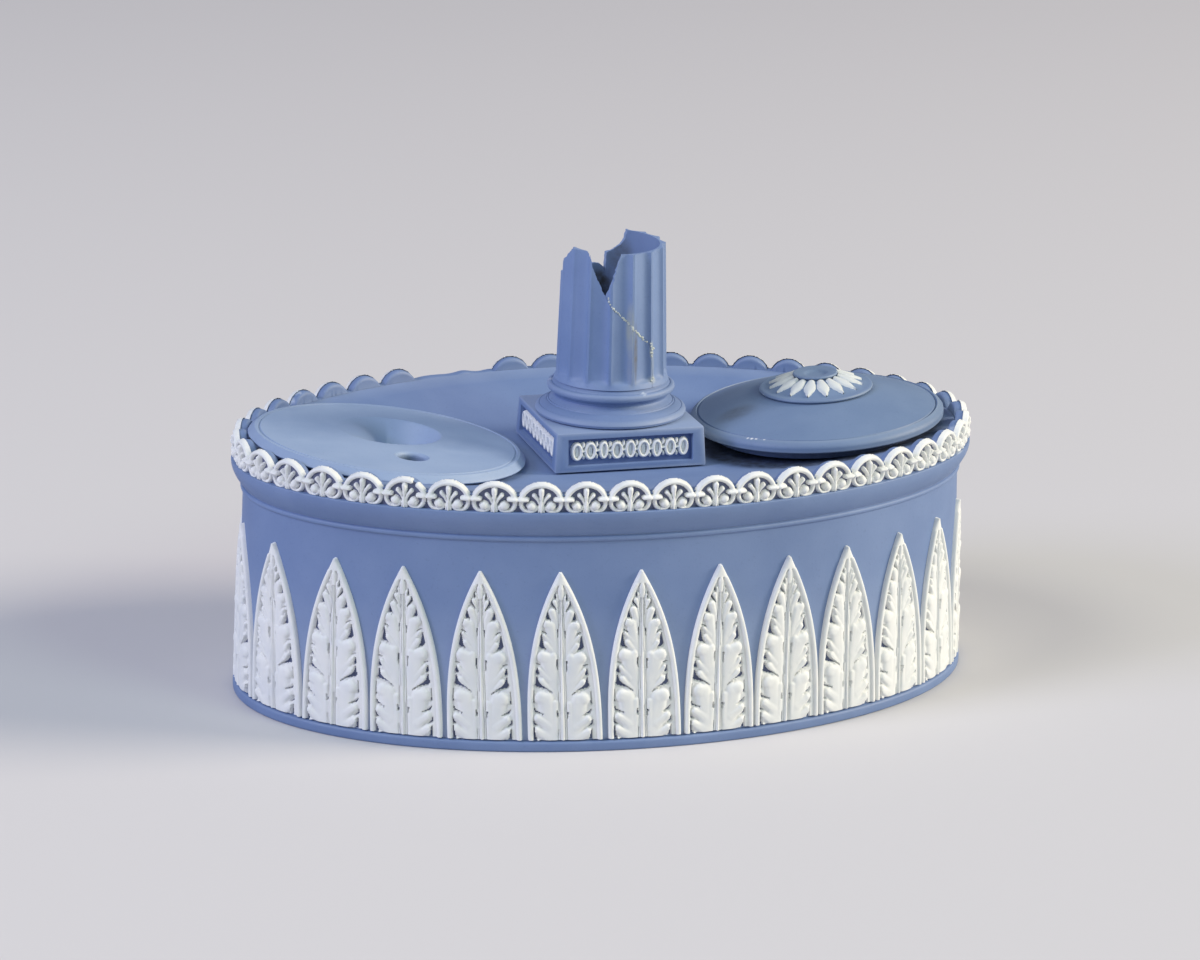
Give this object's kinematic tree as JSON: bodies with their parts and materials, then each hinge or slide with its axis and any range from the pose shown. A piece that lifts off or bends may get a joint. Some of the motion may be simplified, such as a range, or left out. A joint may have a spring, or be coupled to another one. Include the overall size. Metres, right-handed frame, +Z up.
{
  "type": "oval desk inkstand",
  "caption": "Oval desk inkstand in blue stoneware with white leaf relief, an arcaded gallery, a broken fluted column, a dip well and a lidded pot.",
  "frame": {"origin": "centre of the oval foot, on the surface the inkstand stands on", "axes": "+X along the oval towards the lidded pot, +Y towards the back, +Z up"},
  "size_m": [0.1622, 0.1016, 0.0955],
  "materials": {
    "blue": "unglazed blue stoneware, matt, with a faint grain and paler worn edges",
    "white": "unglazed white stoneware relief, matt, thin enough to show blue at its edges"
  },
  "bodies": {
    "drum": {"drum_base": "blue", "drum_wall": "blue", "top_tray": "blue", "gallery_wall": "blue", "gallery_frieze": "white", "leaf_01": "white", "leaf_02": "white", "leaf_03": "white", "leaf_04": "white", "leaf_05": "white", "leaf_06": "white", "leaf_07": "white", "leaf_08": "white", "leaf_09": "white", "leaf_10": "white", "leaf_11": "white", "leaf_12": "white", "leaf_13": "white", "leaf_14": "white", "leaf_15": "white", "leaf_16": "white", "leaf_17": "white", "leaf_18": "white", "leaf_19": "white", "leaf_20": "white", "leaf_21": "white", "leaf_22": "white", "leaf_23": "white", "leaf_24": "white", "leaf_25": "white", "leaf_26": "white", "plinth": "blue", "plinth_chain_front": "white", "plinth_chain_right": "white", "plinth_chain_back": "white", "plinth_chain_left": "white", "column_base": "blue", "column_shaft": "blue", "column_fragment": "blue"},
    "left_well": {"well_pot": "blue", "well_cover": "blue"},
    "right_pot": {"collar_pot": "blue"},
    "lid": {"lid": "blue", "lid_knob": "blue", "lid_petals": "white"}
  },
  "joints": [
    {"name": "left_well_lift", "type": "slide", "parent": "drum", "child": "left_well", "axis": [0.1099, 0, 0.9939], "range_m": [0, 0.048]},
    {"name": "right_pot_lift", "type": "slide", "parent": "drum", "child": "right_pot", "axis": [-0.0759, 0, 0.9971], "range_m": [0, 0.047]},
    {"name": "lid_lift", "type": "slide", "parent": "right_pot", "child": "lid", "axis": [-0.0759, 0, 0.9971], "range_m": [0, 0.03]}
  ]
}
